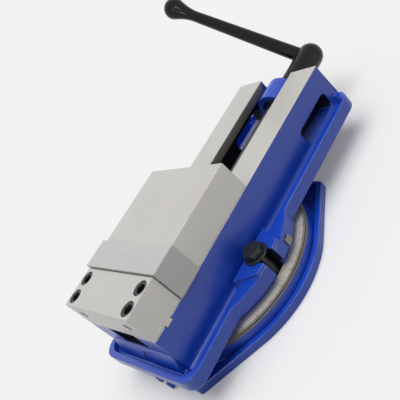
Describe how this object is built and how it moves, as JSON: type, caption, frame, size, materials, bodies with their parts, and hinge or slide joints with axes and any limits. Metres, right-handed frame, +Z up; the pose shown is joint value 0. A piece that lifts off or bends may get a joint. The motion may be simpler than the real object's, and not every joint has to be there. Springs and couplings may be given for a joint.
{
  "type": "precision milling vise on a swivel base",
  "caption": "Screw-driven milling vise with hardened jaw plates and an angle-locked movable jaw, on a graduated swivel base with T-slot clamps and a slip-on crank.",
  "frame": {"origin": "where the swivel axis meets the flat underside of the swivel base", "axes": "+X along the lead screw from the fixed jaw to the crank, +Y across the jaws, +Z up from the table"},
  "size_m": [0.4849, 0.297, 0.2298],
  "materials": {
    "bearing_steel": "ground and polished",
    "bed_paint_and_ground_rails": "gloss enamel over cast iron, rails ground bright",
    "black_oxide_steel": "black oxide",
    "crank_black": "satin black over forged steel",
    "ground_jaw_steel": "surface ground",
    "hardened_plate_steel": "hardened and ground",
    "index_steel": "satin",
    "turned_screw_steel": "machined",
    "nut_paint": "enamel over cast iron",
    "base_paint_and_ground_disc": "gloss enamel over cast iron"
  },
  "bodies": {
    "base": {"swivel_base": "base_paint_and_ground_disc", "pivot_pin": "turned_screw_steel"},
    "vise": {"bed_casting": "bed_paint_and_ground_rails", "fixed_jaw": "ground_jaw_steel", "fixed_jaw_plate": "hardened_plate_steel", "bearing_race_inner": "bearing_steel", "bearing_cage": "bearing_steel", "bearing_race_outer": "bearing_steel", "index_plate": "index_steel", "fixed_jaw_screw_front_near": "black_oxide_steel", "fixed_jaw_screw_front_far": "black_oxide_steel", "fixed_jaw_screw_rear_near": "black_oxide_steel", "fixed_jaw_screw_rear_far": "black_oxide_steel", "fixed_jaw_plate_screw_near": "black_oxide_steel", "fixed_jaw_plate_screw_far": "black_oxide_steel", "clamp_washer_near": "black_oxide_steel", "clamp_washer_far": "black_oxide_steel", "clamp_t_nut_near": "black_oxide_steel", "clamp_t_nut_far": "black_oxide_steel"},
    "jaw": {"movable_jaw": "ground_jaw_steel", "movable_jaw_plate": "hardened_plate_steel", "screw_nut": "nut_paint", "lock_ball": "hardened_plate_steel", "jaw_adjuster": "black_oxide_steel", "movable_jaw_plate_screw_near": "black_oxide_steel", "movable_jaw_plate_screw_far": "black_oxide_steel"},
    "screw": {"lead_screw": "turned_screw_steel", "thrust_collar": "hardened_plate_steel", "stop_ring": "black_oxide_steel"},
    "crank": {"crank_handle": "crank_black"},
    "clamp_near": {"clamp_bolt_near": "black_oxide_steel"},
    "clamp_far": {"clamp_bolt_far": "black_oxide_steel"}
  },
  "joints": [
    {"name": "swivel", "type": "hinge", "parent": "base", "child": "vise", "pos_m": [0, 0, 0.024], "axis": [0, 0, 1], "continuous": true},
    {"name": "screw_turn", "type": "hinge", "parent": "vise", "child": "screw", "pos_m": [0.2181, 0, 0.0665], "axis": [1, 0, 0], "range_deg": [0, 10800]},
    {"name": "jaw_slide", "type": "slide", "parent": "vise", "child": "jaw", "axis": [1, 0, 0], "range_m": [0, 0.15]},
    {"name": "crank_pull", "type": "slide", "parent": "screw", "child": "crank", "axis": [1, 0, 0], "range_m": [0, 0.06]},
    {"name": "clamp_turn_near", "type": "hinge", "parent": "vise", "child": "clamp_near", "pos_m": [0, -0.093, 0.055], "axis": [0, 0, 1], "range_deg": [0, 720]},
    {"name": "clamp_turn_far", "type": "hinge", "parent": "vise", "child": "clamp_far", "pos_m": [0, 0.093, 0.055], "axis": [0, 0, 1], "range_deg": [0, 720]}
  ],
  "couplings": [
    {"joint": "jaw_slide", "follows": "screw_turn", "m_per_rad": 0.00079577}
  ]
}
